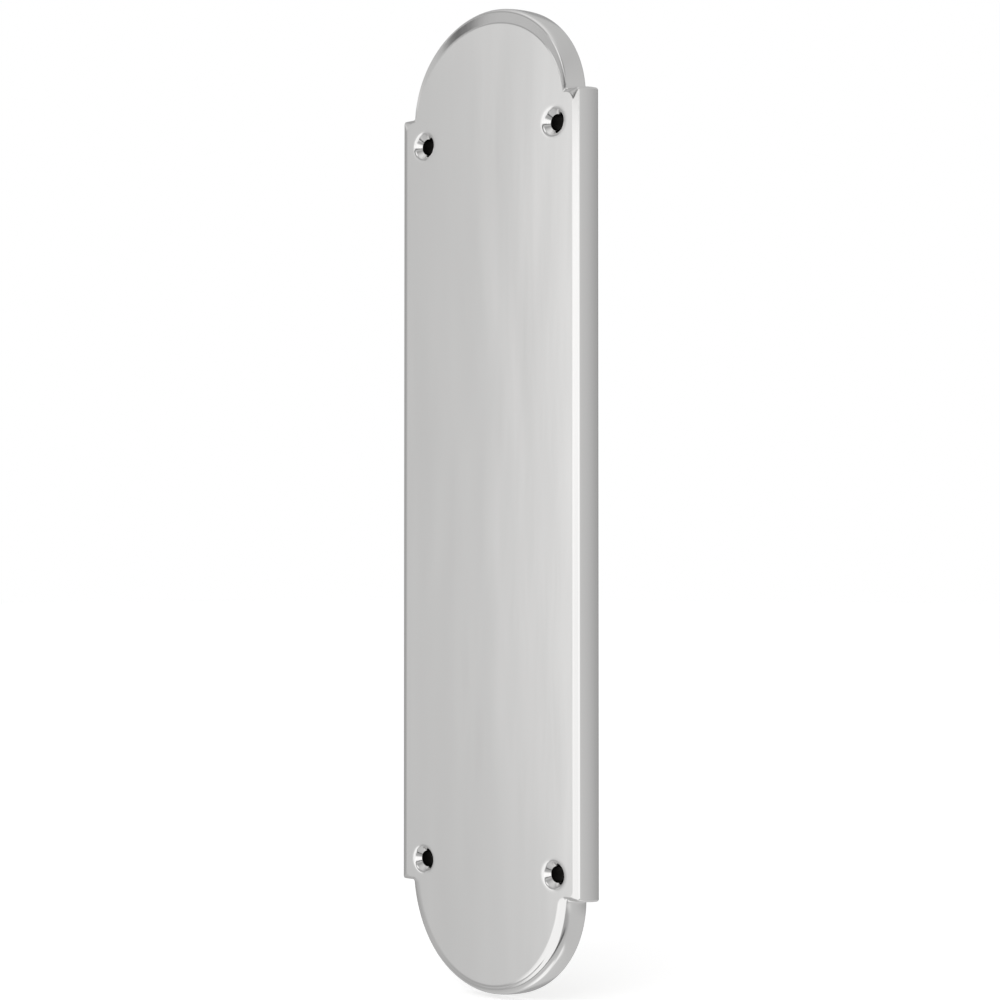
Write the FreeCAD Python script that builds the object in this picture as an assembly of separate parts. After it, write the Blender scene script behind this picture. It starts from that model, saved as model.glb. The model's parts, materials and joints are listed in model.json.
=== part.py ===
import FreeCAD, Part
import math
import os

# Door finger plate, cast in brass as one piece: a shallow tray, hollow behind, with a raised face.
# The long body has a square shoulder at each corner, and a round arch caps each end.
# Sizes are millimetres. The plate stands upright: +Z is up, X runs across the plate and
# the face looks along -Y. The origin lies on the back plane, midway between the screw holes.

# Outline, seen from the front. Each arch is the end of an ellipse, a little fuller than a
# circle, and its centre lies some way below its shoulders.
PLATE_HEIGHT = 304.8
PLATE_WIDTH = 76.2
TOP_ARCH_RISE = 29.4
TOP_CENTRE_DROP = 1.5
BOTTOM_ARCH_RISE = 31.8
BOTTOM_CENTRE_DROP = 0.0
SHOULDER_WIDTH = 4.9
CORNER_RADIUS = 0.7
NECK_RADIUS = 0.9

# Section, from the back plane forwards. The walls lean in from the back edge to the ridge,
# more and more towards the front, so that the casting leaves its mould. Polishing has worn
# the ridge rounder at the two crowns.
BACK_EDGE_RADIUS = 0.6
DRAFT = 0.8
RIDGE_DEPTH = 8.3
RIDGE_RADIUS = 0.6
TOP_CROWN_RADIUS = 1.4
BOTTOM_CROWN_RADIUS = 2.0
FACE_LIFT = 0.4

# Bevel from the ridge in to the raised face: narrow along the sides, wide at the crowns.
# As on the casting, the top has a deep crescent at its crown and a tight neck,
# and the bottom a thinner crescent and a softer neck.
SIDE_BEVEL = 2.3
TOP_CROWN_BEVEL = 4.8
TOP_SHOULDER_BEVEL = 1.0
TOP_NECK_BEVEL = 1.0
TOP_FACE_CORNER_RADIUS = 2.0
TOP_FACE_NECK_RADIUS = 0.5
BOTTOM_CROWN_BEVEL = 3.0
BOTTOM_SHOULDER_BEVEL = 1.0
BOTTOM_NECK_BEVEL = 3.3
BOTTOM_FACE_CORNER_RADIUS = 2.0
BOTTOM_FACE_NECK_RADIUS = 3.4

# How the bevel's edges are rolled: the part of its width that the face's soft edge takes,
# the number of strips in each roll and in the wall, and how the wall's strips crowd forwards
FACE_ROLL_SHARE = 0.4
ROLL_STRIPS = 3
WALL_STRIPS = 4
WALL_CROWDING = 1.5

# Four screw holes, countersunk in the face for flat-headed wood screws.
# The top pair is drilled a little further from its shoulders than the bottom pair.
HOLE_FROM_SIDE = 10.6
TOP_HOLE_FROM_SHOULDER = 10.0
BOTTOM_HOLE_FROM_SHOULDER = 7.8
BORE_DIAMETER = 5.0
COUNTERSINK_DIAMETER = 8.4
COUNTERSINK_ANGLE = 90.0
COUNTERSINK_EDGE_RADIUS = 0.25

# Hollow back: the rim wall round the edge, the web behind the face and a pad at each screw
RIM_THICKNESS = 2.6
WEB_THICKNESS = 2.8
HOLLOW_CORNER_RADIUS = 1.5
HOLLOW_FLOOR_RADIUS = 1.2
SCREW_PAD_RADIUS = 6.5

TOUCH = 1e-3
TURN_TOLERANCE = 1e-12
FRONT = FreeCAD.Vector(0, -1, 0)
ACROSS = FreeCAD.Vector(1, 0, 0)
UP = FreeCAD.Vector(0, 0, 1)
ORIGIN = FreeCAD.Vector(0, 0, 0)

half_width = PLATE_WIDTH / 2
shoulder_height = (PLATE_HEIGHT - TOP_ARCH_RISE - BOTTOM_ARCH_RISE) / 2
face_depth = RIDGE_DEPTH + FACE_LIFT
hollow_depth = face_depth - WEB_THICKNESS
bore_radius = BORE_DIAMETER / 2
mouth_radius = COUNTERSINK_DIAMETER / 2
top_screw_height = shoulder_height - TOP_HOLE_FROM_SHOULDER
bottom_screw_height = BOTTOM_HOLE_FROM_SHOULDER - shoulder_height
screw_centres = [
    FreeCAD.Vector(side * (half_width - HOLE_FROM_SIDE), 0, height)
    for side in (-1, 1)
    for height in (bottom_screw_height, top_screw_height)
]


def point(x, z):
    return FreeCAD.Vector(x, 0, z)


def rounded_corner(centre, radius, start, end):
    """Arc round a corner, the shorter way from start to end."""
    outward = ((start + end) * 0.5 - centre).normalize()
    return Part.Arc(start, centre + outward * radius, end).toShape()


def beside_ellipse(across, rise, turn, offset):
    """Point set off outwards from an ellipse round the origin, at a turn up from its side."""
    out_x = rise * math.cos(turn)
    out_z = across * math.sin(turn)
    reach = offset / math.hypot(out_x, out_z)
    return point(across * math.cos(turn) + out_x * reach, rise * math.sin(turn) + out_z * reach)


def turn_to_height(across, rise, offset, height):
    """Turn at which the point set off from the ellipse comes up to a height."""
    low = 0
    high = math.pi / 2
    while high - low > TURN_TOLERANCE:
        turn = (low + high) / 2
        if beside_ellipse(across, rise, turn, offset).z < height:
            low = turn
        else:
            high = turn
    return low


def ellipse_arch(centre, across, rise, turn):
    """Arc of an ellipse over its top, from a turn up from its right side to the same on its left."""
    x = math.cos(turn)
    z = math.sin(turn)
    circle = Part.Arc(point(x, z), point(0, 1), point(-x, z)).toShape()
    stretch = FreeCAD.Matrix()
    stretch.scale(FreeCAD.Vector(across, 1, rise))
    arch = circle.transformGeometry(stretch)
    arch.translate(centre)
    return arch


def end_edges(side, shoulder, neck, crown, corner_radius, neck_radius, centre_drop):
    """Edges over the upper end of an outline, in the plane of the back.

    side is the body's half width and shoulder the height of its end. neck is the arch's
    half width at the shoulder and crown the height of its top. The body's corners are
    rounded, and a small fillet leads from each shoulder into the arch.
    """
    arch_centre = point(0, shoulder - centre_drop)
    rise = crown - arch_centre.z
    across = neck / math.sqrt(1 - (centre_drop / rise) ** 2)
    turn = turn_to_height(across, rise, neck_radius, centre_drop + neck_radius)
    fillet_centre = arch_centre + beside_ellipse(across, rise, turn, neck_radius)
    corner_centre = point(side - corner_radius, shoulder - corner_radius)

    corner_start = point(side, corner_centre.z)
    shoulder_start = point(corner_centre.x, shoulder)
    shoulder_end = point(fillet_centre.x, shoulder)
    arch_end = arch_centre + beside_ellipse(across, rise, turn, 0)

    right = [
        rounded_corner(corner_centre, corner_radius, corner_start, shoulder_start),
        Part.LineSegment(shoulder_start, shoulder_end).toShape(),
        rounded_corner(fillet_centre, neck_radius, shoulder_end, arch_end),
    ]
    arch = ellipse_arch(arch_centre, across, rise, turn)
    left = [edge.mirror(ORIGIN, ACROSS) for edge in reversed(right)]
    return right + [arch] + left


def outline(side, top, bottom, depth):
    """Closed outline at a depth in front of the back plane, from its half width and two ends.

    Each end is (shoulder, neck, crown, corner_radius, neck_radius, centre_drop), with
    heights measured outwards from the plate's middle.
    """
    upper = end_edges(side, *top)
    lower = [edge.mirror(ORIGIN, UP) for edge in reversed(end_edges(side, *bottom))]
    upper_corner = top[0] - top[3]
    lower_corner = bottom[0] - bottom[3]
    left_side = Part.LineSegment(point(-side, upper_corner), point(-side, -lower_corner)).toShape()
    right_side = Part.LineSegment(point(side, -lower_corner), point(side, upper_corner)).toShape()
    wire = Part.Wire(Part.__sortEdges__(upper + [left_side] + lower + [right_side]))
    wire.translate(FRONT * depth)
    return wire


def edge_end(arch_rise, centre_drop, inset, worn):
    """One end of the plate's own edge, set in evenly, with its crown worn down some more."""
    shoulder = shoulder_height - inset
    neck = half_width - SHOULDER_WIDTH - inset
    crown = shoulder + arch_rise - worn
    return (shoulder, neck, crown, CORNER_RADIUS, NECK_RADIUS, centre_drop)


def face_end(arch_rise, centre_drop, shoulder_bevel, neck_bevel, crown_bevel, corner_radius, neck_radius):
    """One end of the raised face, inside its bevel."""
    shoulder = shoulder_height - DRAFT - shoulder_bevel
    neck = half_width - SHOULDER_WIDTH - DRAFT - neck_bevel
    crown = shoulder_height + arch_rise - DRAFT - crown_bevel
    return (shoulder, neck, crown, corner_radius, neck_radius, centre_drop)


top_face_end = face_end(
    TOP_ARCH_RISE,
    TOP_CENTRE_DROP,
    TOP_SHOULDER_BEVEL,
    TOP_NECK_BEVEL,
    TOP_CROWN_BEVEL,
    TOP_FACE_CORNER_RADIUS,
    TOP_FACE_NECK_RADIUS,
)
bottom_face_end = face_end(
    BOTTOM_ARCH_RISE,
    BOTTOM_CENTRE_DROP,
    BOTTOM_SHOULDER_BEVEL,
    BOTTOM_NECK_BEVEL,
    BOTTOM_CROWN_BEVEL,
    BOTTOM_FACE_CORNER_RADIUS,
    BOTTOM_FACE_NECK_RADIUS,
)


def part_way(start, end, share):
    return start + (end - start) * share


def roll_inset(radius, depth):
    """How far in a roll of a radius has come at a depth, on its way from the wall to the ridge."""
    along = max(0, radius - max(0, RIDGE_DEPTH - depth))
    return radius - math.sqrt(radius**2 - along**2)


def bevel_outline(inset, share, depth, wear_depth):
    """Outline in front of the back plane, set in evenly and then part of the way to the face.

    The crowns are also worn down as their rounder ridges are at the wear depth.
    """
    side = part_way(half_width - inset, half_width - DRAFT - SIDE_BEVEL, share)
    ends = []
    for arch_rise, centre_drop, crown_radius, goal in (
        (TOP_ARCH_RISE, TOP_CENTRE_DROP, TOP_CROWN_RADIUS, top_face_end),
        (BOTTOM_ARCH_RISE, BOTTOM_CENTRE_DROP, BOTTOM_CROWN_RADIUS, bottom_face_end),
    ):
        worn = roll_inset(crown_radius, wear_depth) - roll_inset(RIDGE_RADIUS, wear_depth)
        start = edge_end(arch_rise, centre_drop, inset, worn)
        ends.append([part_way(a, b, share) for a, b in zip(start, goal)])
    return outline(side, ends[0], ends[1], depth)


def casting_outlines():
    """Outlines from the back plane, up the wall, over the ridge and up to the face.

    The back edge and the ridge are rounds, and the wall between them is a parabola that
    starts upright at the back edge. The bevel then runs straight, and rolls into the face
    along a parabola that starts on the bevel and ends level with the face.
    """
    lean = math.atan2(2 * DRAFT, RIDGE_DEPTH)
    slope = math.atan2(FACE_LIFT, SIDE_BEVEL)
    outlines = []
    for strip in range(ROLL_STRIPS + 1):
        turn = math.pi / 2 * strip / ROLL_STRIPS
        inset = BACK_EDGE_RADIUS * (1 - math.sin(turn))
        depth = BACK_EDGE_RADIUS * (1 - math.cos(turn))
        outlines.append(bevel_outline(inset, 0, depth, depth))
    wall_top = RIDGE_DEPTH - RIDGE_RADIUS * (1 - math.sin(lean))
    for strip in range(1, WALL_STRIPS):
        climb = 1 - (1 - strip / WALL_STRIPS) ** WALL_CROWDING
        depth = part_way(BACK_EDGE_RADIUS, wall_top, climb)
        outlines.append(bevel_outline(DRAFT * climb**2, 0, depth, depth))
    for strip in range(ROLL_STRIPS + 1):
        turn = part_way(lean, math.pi / 2 - slope, strip / ROLL_STRIPS)
        inset = DRAFT + RIDGE_RADIUS * (math.cos(lean) - math.cos(turn))
        depth = RIDGE_DEPTH - RIDGE_RADIUS * (1 - math.sin(turn))
        outlines.append(bevel_outline(inset, 0, depth, depth))
    roll_start = 1 - FACE_ROLL_SHARE
    height_left = 1 - roll_start / (1 - FACE_ROLL_SHARE / 2)
    for strip in range(ROLL_STRIPS + 1):
        along = strip / ROLL_STRIPS
        share = part_way(roll_start, 1, along)
        rise = 1 - height_left * (1 - along) ** 2
        outlines.append(bevel_outline(inset, share, part_way(depth, face_depth, rise), depth))
    return outlines


def edges_at_depth(shape, depth):
    """Edges that lie in one plane parallel to the back."""
    level = []
    for edge in shape.Edges:
        box = edge.BoundBox
        if abs(box.YMin + depth) < TOUCH and abs(box.YMax + depth) < TOUCH:
            level.append(edge)
    return level


def screw_pad(centre):
    """Block that fills the shoulder's corner round one screw, rounded towards the hollow."""
    side = math.copysign(1, centre.x)
    end = math.copysign(1, centre.z)
    inner = point(centre.x - side * SCREW_PAD_RADIUS, centre.z - end * SCREW_PAD_RADIUS)
    outer = point(side * half_width, end * shoulder_height)
    sides = [inner, point(outer.x, inner.z), outer, point(inner.x, outer.z), inner]
    block = Part.Face(Part.makePolygon(sides)).extrude(FRONT * hollow_depth)
    uprights = [
        edge
        for edge in block.Edges
        if edge.BoundBox.YLength > TOUCH and (edge.CenterOfMass - inner).cross(FRONT).Length < TOUCH
    ]
    return block.makeFillet(SCREW_PAD_RADIUS - TOUCH, uprights)


def hollow_back():
    """Space behind the plate: the inside of the rim, less a solid pad round each screw."""
    top = edge_end(TOP_ARCH_RISE, TOP_CENTRE_DROP, RIM_THICKNESS, 0)
    bottom = edge_end(BOTTOM_ARCH_RISE, BOTTOM_CENTRE_DROP, RIM_THICKNESS, 0)
    inside = outline(half_width - RIM_THICKNESS, top, bottom, 0)
    hollow = Part.Face(inside).extrude(FRONT * hollow_depth)
    for centre in screw_centres:
        hollow = hollow.cut(screw_pad(centre))
    uprights = [edge for edge in hollow.Edges if edge.BoundBox.YLength > hollow_depth - TOUCH]
    sharp = [edge for edge in uprights if is_corner(hollow, edge)]
    hollow = hollow.makeFillet(HOLLOW_CORNER_RADIUS, sharp)
    return hollow.makeFillet(HOLLOW_FLOOR_RADIUS, edges_at_depth(hollow, hollow_depth))


def is_corner(shape, edge):
    """True where the two upright faces that meet at an edge turn a corner."""
    faces = shape.ancestorsOfType(edge, Part.Face)
    where = edge.CenterOfMass
    normals = [face.normalAt(*face.Surface.parameter(where)) for face in faces]
    return abs(normals[0].dot(normals[1])) < 1 - TOUCH


def screw_hole(centre):
    """Clearance bore through the plate, with a countersink in the face."""
    sink_depth = (mouth_radius - bore_radius) / math.tan(math.radians(COUNTERSINK_ANGLE / 2))
    bore = Part.makeCylinder(bore_radius, face_depth, centre, FRONT)
    foot = centre + FRONT * (face_depth - sink_depth)
    return bore.fuse(Part.makeCone(bore_radius, mouth_radius, sink_depth, foot, FRONT))


def countersink_rims(shape):
    """The circle round each countersink's mouth."""
    rims = []
    for edge in edges_at_depth(shape, face_depth):
        if isinstance(edge.Curve, Part.Circle) and abs(edge.Curve.Radius - mouth_radius) < TOUCH:
            rims.append(edge)
    return rims


def finger_plate():
    """The whole casting: body, hollow back and four countersunk holes."""
    plate = Part.makeLoft(casting_outlines(), True, True).cut(hollow_back())
    for centre in screw_centres:
        plate = plate.cut(screw_hole(centre))
    plate = plate.makeFillet(COUNTERSINK_EDGE_RADIUS, countersink_rims(plate))
    plate.translate(UP * -(top_screw_height + bottom_screw_height) / 2)
    return plate


os.makedirs("parts", exist_ok=True)
finger_plate().exportStep(os.path.join("parts", "finger_plate.step"))
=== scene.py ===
import json
import math

import bpy
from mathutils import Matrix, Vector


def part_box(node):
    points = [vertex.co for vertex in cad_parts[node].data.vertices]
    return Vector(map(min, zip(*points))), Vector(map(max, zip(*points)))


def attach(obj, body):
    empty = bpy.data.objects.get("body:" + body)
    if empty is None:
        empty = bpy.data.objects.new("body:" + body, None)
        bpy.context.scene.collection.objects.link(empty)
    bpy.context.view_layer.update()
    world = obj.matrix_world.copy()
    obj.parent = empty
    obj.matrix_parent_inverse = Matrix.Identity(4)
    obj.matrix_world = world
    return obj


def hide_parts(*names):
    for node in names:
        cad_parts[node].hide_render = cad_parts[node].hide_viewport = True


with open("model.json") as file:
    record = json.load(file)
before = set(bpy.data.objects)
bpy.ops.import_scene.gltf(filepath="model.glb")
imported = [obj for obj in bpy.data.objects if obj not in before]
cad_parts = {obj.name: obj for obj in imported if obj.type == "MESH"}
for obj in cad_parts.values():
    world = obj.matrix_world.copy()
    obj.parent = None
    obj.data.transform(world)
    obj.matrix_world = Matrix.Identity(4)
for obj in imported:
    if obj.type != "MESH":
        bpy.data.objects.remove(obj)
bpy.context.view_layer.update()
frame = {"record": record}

# The skin of the plate. It is one brass casting: a wall round its edge that leans in a little
# so that the casting leaves its mould, a ridge on top of the wall, and a bevel that rises from
# the ridge to the flat face. Half outlines are traced from the back edge to the face.
plate_low, plate_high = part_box("finger_plate")
half_width = plate_high.x
face_y = plate_low.y
top_arch_rise = 0.0294
top_centre_drop = 0.0015
bottom_arch_rise = 0.0318
bottom_centre_drop = 0
middle_z = (plate_high.z - top_arch_rise + plate_low.z + bottom_arch_rise) / 2
shoulder_z = plate_high.z - top_arch_rise - middle_z
shoulder_width = 0.0049
corner_radius = 0.0007
neck_radius = 0.0009
back_edge_radius = 0.0006
ridge_radius = 0.0006
face_lift = 0.0004
ridge_y = face_y + face_lift
draft = 0.0008
side_bevel = 0.0023
wall_crowding = 1.5
lean = math.atan2(2 * draft, -ridge_y)
slope = math.atan2(face_lift, side_bevel)
roll_end_y = ridge_y + ridge_radius * (1 - math.cos(slope))
# for each bevel, the share and height of its straight foot, and how much of the rest is rolled
side_profile = (0, 0, 0.45)
top_profile = (0.86, 0.75, 0.8)
bottom_profile = (0.18, 0.42, 1.0)
# each crown's ridge is worn to a larger round, and the lower arch is worn beside its crown too
top_crown_roll = 0.0014
bottom_crown_roll = 0.0020
top_haunch_wear = 0
bottom_haunch_wear = 4
arch_steps = 60
round_steps = 7
roll_steps = 7
wall_steps = 10
bevel_steps = 14
weld_distance = 1e-6
turn_tolerance = 1e-9


def edge_end(rise, drop, inset, worn):
    """Shoulder, neck, crown, corner radius, neck radius and drop of the arch's centre, for one
    end of the plate's edge. The crown is worn back further than the rest."""
    shoulder = shoulder_z - inset
    neck = half_width - shoulder_width - inset
    return (shoulder, neck, shoulder + rise - worn, corner_radius, neck_radius, drop)


def face_end(rise, drop, shoulder_bevel, neck_bevel, crown_bevel, corner, fillet):
    """The same six sizes for one end of the raised face."""
    shoulder = shoulder_z - draft - shoulder_bevel
    neck = half_width - shoulder_width - draft - neck_bevel
    return (shoulder, neck, shoulder_z + rise - draft - crown_bevel, corner, fillet, drop)


top_face_end = face_end(
    rise=top_arch_rise,
    drop=0.0040,
    shoulder_bevel=0.0010,
    neck_bevel=0.0010,
    crown_bevel=0.0048,
    corner=0.0030,
    fillet=0.0005,
)
bottom_face_end = face_end(
    rise=bottom_arch_rise,
    drop=0.0020,
    shoulder_bevel=0.0010,
    neck_bevel=0.0033,
    crown_bevel=0.0030,
    corner=0.0020,
    fillet=0.0034,
)


def part_way(start, end, share):
    """The value that lies a share of the way from a start to an end."""
    return start + (end - start) * share


def share_at(height, foot_share, foot_height, roll):
    """How far in a bevel has come at a height. Below its foot it runs straight, and above it
    straight on and then along a parabola that ends level with the face."""
    if height < foot_height:
        return foot_share * height / foot_height
    climb = (height - foot_height) / (1 - foot_height)
    left = roll / 2 / (1 - roll / 2)
    if climb < 1 - left:
        return part_way(foot_share, 1, climb * (1 - roll / 2))
    return part_way(foot_share, 1, 1 - roll * math.sqrt((1 - climb) / left))


def worn_back(y, roll):
    """How much further than the sides a crown's ridge is rounded at a depth."""
    inset = 0
    for radius, sign in ((roll, 1), (ridge_radius, -1)):
        along = max(0, radius - max(0, y - ridge_y))
        inset += sign * (radius - math.sqrt(radius**2 - along**2))
    return inset


def ring(inset, height, y):
    """Half width, two ends and place of one outline, some way up from the ridge to the face."""
    face_side = half_width - draft - side_bevel
    side = part_way(half_width - inset, face_side, share_at(height, *side_profile))
    ends = []
    top = (top_arch_rise, top_centre_drop, top_crown_roll, top_haunch_wear)
    bottom = (bottom_arch_rise, bottom_centre_drop, bottom_crown_roll, bottom_haunch_wear)
    for (rise, drop, roll, haunch_wear), goal, profile in (
        (top, top_face_end, top_profile),
        (bottom, bottom_face_end, bottom_profile),
    ):
        share = share_at(height, *profile)
        worn = worn_back(max(y, roll_end_y), roll)
        start = edge_end(rise, drop + haunch_wear * worn, inset, worn)
        ends.append([part_way(a, b, share) for a, b in zip(start, goal)])
    return side, ends[0], ends[1], y


def skin_rings():
    """Rings round the back edge, over the ridge, up the bevel and into the face."""
    rings = []
    for step in range(roll_steps + 1):
        turn = math.pi / 2 * step / roll_steps
        inset = back_edge_radius * (1 - math.sin(turn))
        rings.append(ring(inset, 0, -back_edge_radius * (1 - math.cos(turn))))
    foot = -back_edge_radius
    top = ridge_y + ridge_radius * (1 - math.sin(lean))
    for step in range(1, wall_steps):
        climb = 1 - (1 - step / wall_steps) ** wall_crowding
        rings.append(ring(draft * climb**2, 0, part_way(foot, top, climb)))
    for step in range(roll_steps + 1):
        turn = part_way(lean, math.pi / 2 - slope, step / roll_steps)
        inset = draft + ridge_radius * (math.cos(lean) - math.cos(turn))
        y = ridge_y + ridge_radius * (1 - math.sin(turn))
        rings.append(ring(inset, 0, y))
    for step in range(1, bevel_steps + 1):
        height = 1 - (1 - step / bevel_steps) ** 2
        rings.append(ring(inset, height, part_way(y, face_y, height)))
    return rings


def start_piece(name, x, y, z):
    """A new piece of one selected vertex, open in edit mode."""
    bpy.ops.object.select_all(action="DESELECT")
    bpy.ops.mesh.primitive_plane_add(size=0.001)
    piece = bpy.context.object
    piece.name = piece.data.name = name
    bpy.ops.object.mode_set(mode="EDIT")
    bpy.ops.mesh.merge(type="CENTER")
    bpy.ops.transform.translate(value=(x, y, z))
    return piece


def select(piece, chosen):
    """Leaves only the vertices that pass a test selected, in edit mode."""
    bpy.ops.object.mode_set(mode="EDIT")
    bpy.ops.mesh.select_mode(type="VERT")
    bpy.ops.mesh.select_all(action="DESELECT")
    bpy.ops.object.mode_set(mode="OBJECT")
    for vertex in piece.data.vertices:
        vertex.select = chosen(vertex)
    bpy.ops.object.mode_set(mode="EDIT")


def spin(steps, angle, x, y, z):
    """Carries the last vertex round a centre. A positive angle is clockwise from the front."""
    bpy.ops.mesh.spin(steps=steps, angle=-angle, center=(x, y, z), axis=(0, 1, 0))


def run(dx, dz):
    """Draws a straight edge from the last vertex."""
    bpy.ops.mesh.extrude_region_move(TRANSFORM_OT_translate={"value": (dx, 0, dz)})


def beside_arch(across, up, turn, offset):
    """Point set off outwards from an arch, which is an ellipse, at a turn up from its side."""
    out_x = up * math.cos(turn)
    out_z = across * math.sin(turn)
    reach = offset / math.hypot(out_x, out_z)
    return across * math.cos(turn) + out_x * reach, up * math.sin(turn) + out_z * reach


def arch_shape(neck, rise, drop, fillet, foot):
    """Half axes of an arch, and the turn where a fillet from its foot line meets it. Then the
    fillet's distance from the middle and the arch's angle there. A fillet inside is negative."""
    up = rise + drop
    across = neck / math.sqrt(1 - (drop / up) ** 2)
    low, high = 0, math.pi / 2
    while high - low > turn_tolerance:
        turn = (low + high) / 2
        if beside_arch(across, up, turn, fillet)[1] < drop + foot:
            low = turn
        else:
            high = turn
    fillet_x = beside_arch(across, up, low, fillet)[0]
    angle = math.atan2(up * math.cos(low), across * math.sin(low))
    return across, up, low, fillet_x, angle


def follow_arch(across, up, foot_turn, offset, direction):
    """Draws an arch from its crown to its foot, or the lower arch from its foot to its crown."""
    points = []
    for step in range(arch_steps + 1):
        turn = part_way(math.pi / 2, foot_turn, step / arch_steps)
        points.append(beside_arch(across, up, turn, offset))
    if direction < 0:
        points.reverse()
    for (x, z), (next_x, next_z) in zip(points, points[1:]):
        run(next_x - x, direction * (next_z - z))


def trace_edge(side, top, bottom, y):
    """Traces one outline's right half from the top crown to the bottom crown."""
    shoulder, neck, crown, corner, fillet, drop = top
    start = start_piece("outline", 0, y, middle_z + crown)
    across, up, turn, fillet_x, angle = arch_shape(neck, crown - shoulder, drop, fillet, fillet)
    follow_arch(across, up, turn, 0, 1)
    spin(round_steps, -angle, fillet_x, y, middle_z + shoulder + fillet)
    run(side - corner - fillet_x, 0)
    spin(round_steps, math.pi / 2, side - corner, y, middle_z + shoulder - corner)
    low_shoulder, neck, crown, low_corner, fillet, drop = bottom
    run(0, -(shoulder - corner + low_shoulder - low_corner))
    spin(round_steps, math.pi / 2, side - low_corner, y, middle_z - low_shoulder + low_corner)
    across, up, turn, fillet_x, angle = arch_shape(neck, crown - low_shoulder, drop, fillet, fillet)
    run(fillet_x - side + low_corner, 0)
    spin(round_steps, -angle, fillet_x, y, middle_z - low_shoulder - fillet)
    follow_arch(across, up, turn, 0, -1)
    return start


def bridge_rings(name, rings, trace):
    """A closed piece of traced rings, each bridged to the one before, with its left half added."""
    piece = start_piece(name, 0, 0, 0)
    bpy.ops.mesh.delete(type="VERT")
    for sizes in rings:
        bpy.ops.object.mode_set(mode="OBJECT")
        first = len(piece.data.vertices)
        start = trace(*sizes)
        bpy.ops.object.mode_set(mode="OBJECT")
        chain = len(start.data.vertices)
        piece.select_set(True)
        bpy.context.view_layer.objects.active = piece
        bpy.ops.object.join()
        if first:
            # the new ring's vertices stand last in the piece, after those of the ring before it
            select(piece, lambda vertex: vertex.index >= first - chain)
            bpy.ops.mesh.bridge_edge_loops()
    bpy.ops.object.mode_set(mode="OBJECT")
    mirror = piece.modifiers.new("halves", "MIRROR")
    mirror.merge_threshold = weld_distance
    bpy.ops.object.modifier_apply(modifier=mirror.name)
    # the open first and last rings are closed with a flat face each
    for sizes in (rings[0], rings[-1]):
        select(piece, lambda vertex: abs(vertex.co.y - sizes[-1]) < weld_distance)
        bpy.ops.mesh.edge_face_add()
    bpy.ops.mesh.select_all(action="SELECT")
    bpy.ops.mesh.normals_make_consistent(inside=False)
    bpy.ops.object.mode_set(mode="OBJECT")
    return piece


plate = bridge_rings("polished_plate", skin_rings(), trace_edge)

# Polished nickel plate over the brass. The polishing wheel ran up and down, so its faint lines
# and the soft waves in the face run that way, and it left a shallow dish round each screw hole.


class Wire:
    """A node's output. Sums on values add Math nodes, and add makes any other node."""

    def __init__(self, tree, node=None, output=0):
        self.tree = tree
        self.node = node
        self.socket = node.outputs[output] if node and node.outputs else None

    def add(self, kind, settings, sockets, output=0):
        node = self.tree.nodes.new(kind)
        for name, value in settings.items():
            if name == "stops":
                elements = node.color_ramp.elements
                while len(elements) < len(value):
                    elements.new(1)
                for element, (position, level) in zip(elements, value):
                    element.position = position
                    element.color = (level, level, level, 1)
            else:
                setattr(node, name, value)
        for name, value in sockets.items():
            if isinstance(value, Wire):
                self.tree.links.new(value.socket, node.inputs[name])
            else:
                node.inputs[name].default_value = value
        return Wire(self.tree, node, output)

    def sum(self, operation, first, second):
        return self.add("ShaderNodeMath", {"operation": operation}, {0: first, 1: second})

    def __add__(self, other):
        return self.sum("ADD", self, other)

    def __radd__(self, other):
        return self.sum("ADD", other, self)

    def __sub__(self, other):
        return self.sum("SUBTRACT", self, other)

    def __rsub__(self, other):
        return self.sum("SUBTRACT", other, self)

    def __mul__(self, other):
        return self.sum("MULTIPLY", self, other)

    def __rmul__(self, other):
        return self.sum("MULTIPLY", other, self)


screws = next(m for m in frame["record"]["mounts"] if m["name"] == "screw_holes")
screw_x = screws["dims"]["spacing_x_mm"] / 2000
screw_z = screws["dims"]["spacing_y_mm"] / 2000
wave_depth = 0.000085
ripple_depth = 0.000012
line_depth = 0.0000004
dish_depth = 0.000026
dish_inside = 0.0038
dish_outside = 0.0056
dull_nickel = (0.672, 0.666, 0.660, 1)
bright_nickel = (0.690, 0.686, 0.681, 1)
rubbed_roughness = 0.085
ripple_roughness = 0.06
line_roughness = 0.03


def emptied(owner):
    """The node tree of a material or a world, emptied for new nodes."""
    owner.use_nodes = True
    owner.node_tree.nodes.clear()
    return Wire(owner.node_tree)


def noise(vector, stretch, scale, detail, seed):
    """Soft noise, stretched along the plate's three axes, about nought to one."""
    stretched = nodes.add(
        "ShaderNodeVectorMath", {"operation": "MULTIPLY"}, {0: vector, 1: stretch}
    )
    shift = (seed, seed, seed)
    moved = nodes.add("ShaderNodeVectorMath", {"operation": "ADD"}, {0: stretched, 1: shift})
    return nodes.add(
        "ShaderNodeTexNoise",
        {},
        {"Vector": moved, "Scale": scale, "Detail": detail, "Roughness": 0.5},
    )


def metal(share, dark, light, roughness, height):
    """Closes a material: a metal between two colours by a share, raised by a height in metres."""
    colour = nodes.add("ShaderNodeMix", {"data_type": "RGBA"}, {0: share, 6: dark, 7: light}, 2)
    raised = {"Strength": 1, "Distance": 1, "Height": height}
    normal = nodes.add("ShaderNodeBump", {}, raised, "Normal")
    surface = nodes.add(
        "ShaderNodeBsdfPrincipled",
        {},
        {"Base Color": colour, "Metallic": 1, "Roughness": roughness, "Normal": normal},
    )
    nodes.add("ShaderNodeOutputMaterial", {}, {"Surface": surface})


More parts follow.
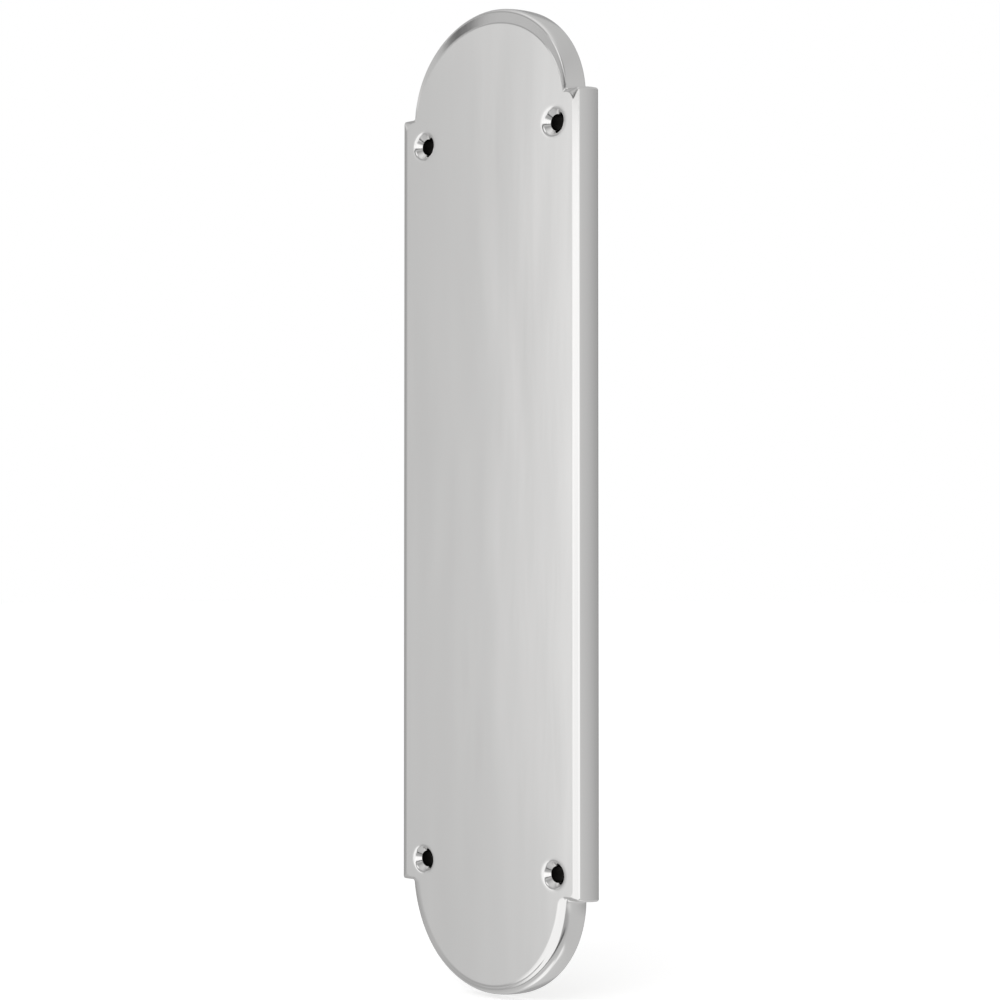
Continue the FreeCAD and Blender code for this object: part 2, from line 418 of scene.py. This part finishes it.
nickel = bpy.data.materials.new("polished_nickel")
nodes = emptied(nickel)
place = nodes.add("ShaderNodeTexCoord", {}, {}, "Object")
wave = noise(place, stretch=(1, 1, 0.22), scale=55, detail=1, seed=3.1)
ripple = noise(place, stretch=(1, 1, 0.12), scale=170, detail=2, seed=8.4)
wheel_lines = noise(place, stretch=(1, 1, 0.02), scale=2600, detail=2, seed=1.7)
place_x = nodes.add("ShaderNodeSeparateXYZ", {}, {"Vector": place}, "X")
place_z = Wire(nickel.node_tree, place_x.node, "Z")
off_x = nodes.sum("ABSOLUTE", place_x, 0) - screw_x
off_z = nodes.sum("ABSOLUTE", place_z, 0) - screw_z
reach = nodes.sum("POWER", off_x * off_x + off_z * off_z, 0.5)
dish = nodes.add(
    "ShaderNodeMapRange",
    {"interpolation_type": "SMOOTHERSTEP"},
    {0: reach, 1: dish_inside, 2: dish_outside, 3: 1, 4: 0},
)
height = wave * wave_depth + ripple * ripple_depth + wheel_lines * line_depth - dish * dish_depth
roughness = rubbed_roughness + ripple_roughness * ripple + line_roughness * wheel_lines
metal(wave, dull_nickel, bright_nickel, roughness, height)
plate.data.materials.append(nickel)

# The hollow behind the plate, as a shape to cut away. The casting is a tray: a rim wall
# round the edge, a web behind the face, and a solid pad in each shoulder corner for a screw.
# The sand left every inner corner round, and the hollow's floor meets its walls in a curve.
rim_thickness = 0.0026
web_thickness = 0.0028
hollow_corner = 0.0015
floor_radius = 0.0012
pad_radius = 0.0065
floor_steps = 6
hollow_y = face_y + web_thickness
cut_past = 0.002
sand_depth = 0.00006
stained_casting = (0.42, 0.40, 0.36, 1)
clean_casting = (0.56, 0.55, 0.52, 1)
cast_roughness = 0.38
stain_roughness = 0.14


def hollow_arch(rise, drop):
    """Shape of the rim's inside at an arch, down to the fillet where it meets a screw pad."""
    neck = half_width - shoulder_width - rim_thickness
    return arch_shape(neck, rise, drop, -hollow_corner, rim_thickness + hollow_corner)


def trace_hollow(inset, y):
    """Traces the hollow's right half, set in evenly: arch, round the pad, side, pad and arch."""
    across, up, turn, fillet_x, angle = hollow_arch(top_arch_rise, top_centre_drop)
    crown = shoulder_z - rim_thickness + top_arch_rise
    start = start_piece("outline", 0, y, middle_z + crown - inset)
    pad_x = screw_x - pad_radius
    wall_x = half_width - rim_thickness
    quarter = math.pi / 2
    top = middle_z + shoulder_z
    follow_arch(across, up, turn, -inset, 1)
    spin(round_steps, math.pi - angle, fillet_x, y, top + hollow_corner)
    run(pad_x + hollow_corner - fillet_x, 0)
    spin(round_steps, -quarter, pad_x + hollow_corner, y, top - hollow_corner)
    run(0, screw_z - top + hollow_corner)
    spin(2 * round_steps, -quarter, screw_x, y, screw_z)
    run(wall_x - hollow_corner - screw_x, 0)
    spin(round_steps, quarter, wall_x - hollow_corner, y, screw_z - pad_radius - hollow_corner)
    run(0, -2 * (screw_z - pad_radius - hollow_corner))
    spin(round_steps, quarter, wall_x - hollow_corner, y, -screw_z + pad_radius + hollow_corner)
    run(screw_x - wall_x + hollow_corner, 0)
    spin(2 * round_steps, -quarter, screw_x, y, -screw_z)
    across, up, turn, fillet_x, angle = hollow_arch(bottom_arch_rise, bottom_centre_drop)
    bottom = middle_z - shoulder_z
    run(0, bottom + hollow_corner + screw_z)
    spin(round_steps, -quarter, pad_x + hollow_corner, y, bottom + hollow_corner)
    run(fillet_x - pad_x - hollow_corner, 0)
    spin(round_steps, math.pi - angle, fillet_x, y, bottom - hollow_corner)
    follow_arch(across, up, turn, -inset, -1)
    return start


hollow_rings = [(0, cut_past)]
for step in range(floor_steps + 1):
    turn = math.pi / 2 * step / floor_steps
    inset = floor_radius * (1 - math.cos(turn))
    hollow_rings.append((inset, hollow_y + floor_radius * (1 - math.sin(turn))))
hollow = bridge_rings("hollow", hollow_rings, trace_hollow)
as_cast = bpy.data.materials.new("as_cast_nickel")
nodes = emptied(as_cast)
place = nodes.add("ShaderNodeTexCoord", {}, {}, "Object")
sand = noise(place, stretch=(1, 1, 1), scale=1400, detail=3, seed=5.2)
stain = noise(place, stretch=(1, 1, 1), scale=60, detail=3, seed=9.7)
roughness = cast_roughness + stain_roughness * stain
metal(stain, stained_casting, clean_casting, roughness, sand_depth * sand)
hollow.data.materials.append(as_cast)


def cut(piece, tool):
    """Takes one piece's shape out of another, and the tool away."""
    bpy.ops.object.select_all(action="DESELECT")
    piece.select_set(True)
    bpy.context.view_layer.objects.active = piece
    difference = piece.modifiers.new("cut", "BOOLEAN")
    difference.operation = "DIFFERENCE"
    difference.solver = "EXACT"
    difference.object = tool
    difference.material_mode = "TRANSFER"
    bpy.ops.object.modifier_apply(modifier=difference.name)
    bpy.data.objects.remove(tool)


cut(plate, hollow)

# Four screw holes, drilled through the pads and countersunk in the face, with their mouths
# rounded over by the polishing wheel. The cutter is a drill of the bore's size whose front end
# widens at the countersink's angle and then flares into the rounded lip.
bore_radius = screws["dims"]["hole_r_mm"] / 1000
countersink_radius = 0.0042
cone_angle = math.pi / 4
lip_width = 0.00055
lip_steps = 6
drill_sides = 96
ring_depth = 0.00002
# the bore's two nearly black colours are painted shade for the dark inside of each hole
darkest_bore_shade = (0.010, 0.010, 0.009, 1)
lightest_bore_shade = (0.030, 0.028, 0.025, 1)
bore_roughness = 0.45
ring_roughness = 0.1
bore_normal_y = 0.1
sink_depth = countersink_radius - bore_radius
bpy.ops.object.select_all(action="DESELECT")
bpy.ops.mesh.primitive_cylinder_add(
    vertices=drill_sides,
    radius=bore_radius,
    depth=cut_past - (face_y + sink_depth),
    location=(0, (cut_past + face_y + sink_depth) / 2, 0),
    rotation=(math.pi / 2, 0, 0),
)
drill = bpy.context.object
bpy.ops.object.transform_apply(location=True, rotation=True, scale=False)
select(drill, lambda vertex: vertex.co.y < face_y / 2)
bpy.ops.mesh.select_mode(type="FACE")
lip_radius = lip_width / math.tan(cone_angle / 2)
drill_rings = []
for step in range(lip_steps + 1):
    turn = cone_angle * (1 - step / lip_steps)
    lip_reach = countersink_radius + lip_width - lip_radius * math.sin(turn)
    drill_rings.append((face_y + lip_radius * (1 - math.cos(turn)), lip_reach))
# the lip's last chord runs on past the face, which it crosses where the lip ends
before_y, before_reach = drill_rings[-2]
drill_rings[-1] = (2 * face_y - before_y, 2 * lip_reach - before_reach)
drill_rings.append((face_y - cut_past, drill_rings[-1][1]))
last_y, last_reach = face_y + sink_depth, bore_radius
for ring_y, ring_reach in drill_rings:
    bpy.ops.mesh.extrude_region_move(TRANSFORM_OT_translate={"value": (0, ring_y - last_y, 0)})
    flare = ring_reach / last_reach
    bpy.ops.transform.resize(value=(flare, 1, flare))
    last_y, last_reach = ring_y, ring_reach
bpy.ops.mesh.select_all(action="SELECT")
bpy.ops.mesh.normals_make_consistent(inside=False)
bpy.ops.object.mode_set(mode="OBJECT")
# the bore's material is painted shade: nearly black metal, a little lighter along the drilling
# rings
painted_bore_shade = bpy.data.materials.new("bore_painted_shade")
nodes = emptied(painted_bore_shade)
place = nodes.add("ShaderNodeTexCoord", {}, {}, "Object")
rings = noise(place, stretch=(1, 12, 1), scale=700, detail=2, seed=4.4)
roughness = bore_roughness + ring_roughness * rings
metal(rings, darkest_bore_shade, lightest_bore_shade, roughness, ring_depth * rings)
drill.data.materials.append(nickel)
drill.data.materials.append(painted_bore_shade)
# the straight bore gets painted shade, nearly black, and the countersink and its lip keep the
# nickel
for face in drill.data.polygons:
    face.material_index = int(abs(face.normal.y) < bore_normal_y)
for side_sign in (-1, 1):
    for end_sign in (-1, 1):
        copy = drill.copy()
        copy.data = drill.data.copy()
        bpy.context.scene.collection.objects.link(copy)
        copy.location = (side_sign * screw_x, 0, end_sign * screw_z)
        bpy.context.view_layer.update()
        cut(plate, copy)
bpy.data.objects.remove(drill)

# The finished casting. Rolled edges run smoothly into the flat faces, which keep true normals,
# and only real corners stay sharp. The one piece takes the solid plate's place in the frame.
sharp_corner = math.radians(35)
bpy.ops.object.shade_smooth_by_angle(angle=sharp_corner)
weighting = plate.modifiers.new("true_faces", "WEIGHTED_NORMAL")
weighting.weight = 100
weighting.keep_sharp = True
bpy.ops.object.modifier_apply(modifier=weighting.name)

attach(plate, "root")
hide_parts("finger_plate")

# The studio. The plate stands just above a pale painted floor in a white room, lit by one soft
# lamp. The polished metal shows a surround of soft boxes and dark gaps instead of the bare
# white, and all of it is given in degrees of azimuth from the face's front and of elevation.
floor_size = 20
floor_gap = 0.001
floor_glow = 0.5
floor_colour = (0.8, 0.8, 0.8, 1)
brightest = 1.5
room_fill = 0.62
bar_bow = 0.0021
bar_drop = 1.06
slant = 0.145
slant_below = 2
bpy.ops.object.select_all(action="DESELECT")
bpy.ops.mesh.primitive_plane_add(size=floor_size, location=(0, 0, plate_low.z - floor_gap))
floor = bpy.context.object
floor.name = "floor"
floor.visible_glossy = False
paint = bpy.data.materials.new("floor_paint")
nodes = emptied(paint)
seen = nodes.add("ShaderNodeLightPath", {}, {}, "Is Camera Ray")
black_to_white = {0: floor_glow * seen, 6: (0, 0, 0, 1), 7: (1, 1, 1, 1)}
glow = nodes.add("ShaderNodeMix", {"data_type": "RGBA"}, black_to_white, 2)
surface = nodes.add(
    "ShaderNodeBsdfPrincipled",
    {},
    {"Base Color": floor_colour, "Roughness": 1, "Emission Color": glow, "Emission Strength": 1},
)
nodes.add("ShaderNodeOutputMaterial", {}, {"Surface": surface})
floor.data.materials.append(paint)

studio = bpy.data.worlds.new("studio")
bpy.context.scene.world = studio
nodes = emptied(studio)
direction = nodes.add("ShaderNodeTexCoord", {}, {}, "Object")
parts = nodes.add("ShaderNodeSeparateXYZ", {}, {"Vector": direction})
across, along, up = (Wire(studio.node_tree, parts.node, axis) for axis in "XYZ")
ray_azimuth = nodes.sum("ARCTAN2", across, 0 - along) * (180 / math.pi)
ray_elevation = nodes.sum("ARCSINE", up, 0) * (180 / math.pi)


def by_angle(angle, span, stops, top_level=1):
    """A level, as a share of the top one, that follows an angle through stops of degrees."""
    return nodes.add(
        "ShaderNodeValToRGB",
        {"stops": [(degrees / span + 0.5, level / top_level) for degrees, level in stops]},
        {"Fac": angle * (1 / span) + 0.5},
    )


def patch(azimuth, elevation, inner, outer):
    """One in a round patch of the surround, nought beyond it. Its edge fades between two radii
    in degrees."""
    turn = math.radians(azimuth)
    tilt = math.radians(elevation)
    middle = (math.cos(tilt) * math.sin(turn), -math.cos(tilt) * math.cos(turn), math.sin(tilt))
    nearness = nodes.add(
        "ShaderNodeVectorMath", {"operation": "DOT_PRODUCT"}, {0: direction, 1: middle}, "Value"
    )
    return nodes.add(
        "ShaderNodeMapRange",
        {"interpolation_type": "SMOOTHSTEP"},
        {0: nearness, 1: math.cos(math.radians(outer)), 2: math.cos(math.radians(inner))},
    )


def lit(light, mask, level):
    """Light brought to a level where a mask is one."""
    return light + mask * (level - light)


def shaded(light, mask, share):
    """Light with a share taken away where a mask is one."""
    return light * (1 - share * mask)


# the wall of the room at the plate's height, whose bright box begins along a slanting edge
lowered = nodes.sum("MINIMUM", ray_elevation + slant_below, 0)
around = by_angle(
    ray_azimuth + slant * lowered,
    360,
    [
        (-180, 0.44),
        (-120, 0.44),
        (-75, 0.50),
        (-60, 0.62),
        (-47, 0.73),
        (-44.5, 0.75),
        (-43.3, 0.785),
        (-42.5, 0.875),
        (-41.5, 1.03),
        (-39, 1.35),
        (-20, 1.45),
        (60, 1.45),
        (96, 1.15),
        (113, 0.78),
        (126, 0.67),
        (137, 0.52),
        (150, 0.44),
        (180, 0.44),
    ],
    brightest,
)
# the room from the floor to the ceiling, in front of the plate and behind it
front_dome = by_angle(
    ray_elevation,
    180,
    [
        (-90, 1.30),
        (-80, 1.15),
        (-70, 0.74),
        (-46, 0.66),
        (-37, 0.52),
        (-26, 0.54),
        (-14, 0.74),
        (13, 0.84),
        (16, 1.05),
        (19, 0.71),
        (27, 0.69),
        (36, 0.48),
        (42, 0.49),
        (51, 0.66),
        (62, 0.86),
        (71, 1.02),
        (90, 1.02),
    ],
    brightest,
)
back_dome = by_angle(
    ray_elevation,
    180,
    [
        (-90, 1.40),
        (-76, 1.35),
        (-62, 0.80),
        (-45, 0.72),
        (-15, 0.74),
        (15, 0.74),
        (45, 0.66),
        (60, 0.70),
        (90, 1.02),
    ],
    brightest,
)
behind = by_angle(ray_azimuth, 360, [(-136.8, 1), (-90, 0), (79.2, 0), (108, 1)])
dome = lit(front_dome, behind, back_dome)
band = by_angle(ray_elevation, 180, [(-22, 0), (-12, 1), (13.5, 1), (17, 0)])
soft = brightest * lit(dome, band, around)

# soft boxes, and the dark gaps and the bar between them
low_box = patch(azimuth=-5, elevation=-24, inner=22, outer=34)
high_box = patch(azimuth=3, elevation=36, inner=8, outer=15)
foot_box = patch(azimuth=60, elevation=-80, inner=8, outer=16)
edge_box = patch(azimuth=128, elevation=-60, inner=6, outer=14)
door_side = patch(azimuth=180, elevation=0, inner=26, outer=38)
door_above = patch(azimuth=-146, elevation=20, inner=14, outer=26)
door_below = patch(azimuth=-146, elevation=-20, inner=14, outer=26)
upper_gap = patch(azimuth=-51.5, elevation=22, inner=1, outer=4.5)
over_box = by_angle(ray_elevation, 180, [(13.2, 0), (14.2, 1), (18, 1), (22, 0)])
box_side = by_angle(ray_azimuth, 360, [(-40, 0), (-35, 1), (70, 1), (100, 0)])
bar_height = ray_elevation - bar_bow * ray_azimuth * ray_azimuth + bar_drop
bar = by_angle(bar_height, 180, [(-50.5, 0), (-48, 1), (-44.5, 1), (-42, 0)])
bar_length = patch(azimuth=18, elevation=-46, inner=26, outer=44)
soft = lit(soft, low_box, level=1.3)
soft = lit(soft, high_box, level=1.4)
soft = lit(soft, foot_box, level=1.3)
soft = lit(soft, edge_box, level=1.2)
soft = shaded(soft, bar * bar_length, share=0.92)
soft = shaded(soft, over_box * box_side, share=0.9)
soft = shaded(soft, upper_gap, share=0.8)
soft = shaded(soft, door_side, share=0.5)
soft = shaded(soft, door_above, share=0.4)
soft = shaded(soft, door_below, share=0.4)
camera_ray = nodes.add("ShaderNodeLightPath", {}, {}, "Is Camera Ray")
diffuse_ray = Wire(studio.node_tree, camera_ray.node, "Is Diffuse Ray")
strength = soft * (1 - camera_ray) * (1 - diffuse_ray) + camera_ray + diffuse_ray * room_fill
background = nodes.add("ShaderNodeBackground", {}, {"Color": (1, 1, 1, 1), "Strength": strength})
nodes.add("ShaderNodeOutputWorld", {}, {"Surface": background})


def lamp(name, azimuth, elevation, distance, width, height, watts):
    """A soft box that faces the plate, at an azimuth from the face's own direction."""
    turn = math.radians(azimuth)
    tilt = math.radians(elevation)
    where = (
        distance * math.cos(tilt) * math.sin(turn),
        -distance * math.cos(tilt) * math.cos(turn),
        distance * math.sin(tilt),
    )
    bpy.ops.object.light_add(type="AREA", location=where, rotation=(math.pi / 2 - tilt, 0, turn))
    made = bpy.context.object
    made.name = name
    made.data.shape = "RECTANGLE"
    made.data.size = width
    made.data.size_y = height
    made.data.energy = watts
    made.visible_camera = False
    made.visible_glossy = False


lamp("key_lamp", azimuth=22, elevation=30, distance=1.6, width=1.3, height=1.0, watts=7)

# The camera. It stands in front of the plate and to its right, a little below the middle, and
# looks up slightly. Its place, pitch and focal length come from the fit to the photograph.
view_azimuth = math.radians(43.10)
view_pitch = math.radians(1.325)
view_distance = 0.6750
view_height = -0.0250
image_size = 1000
focal_pixels = 2171.7
middle_column = 506.2
middle_row = 530.0
camera_data = bpy.data.cameras.new("camera")
camera = bpy.data.objects.new("camera", camera_data)
bpy.context.scene.collection.objects.link(camera)
camera.location = (
    view_distance * math.sin(view_azimuth),
    -view_distance * math.cos(view_azimuth),
    view_height,
)
camera.rotation_euler = (math.pi / 2 + view_pitch, 0, view_azimuth)
camera_data.sensor_width = 36
camera_data.lens = focal_pixels / image_size * camera_data.sensor_width
camera_data.shift_x = (image_size / 2 - middle_column) / image_size
camera_data.shift_y = (middle_row - image_size / 2) / image_size
bpy.context.scene.camera = camera
bpy.context.scene.view_settings.view_transform = "Standard"
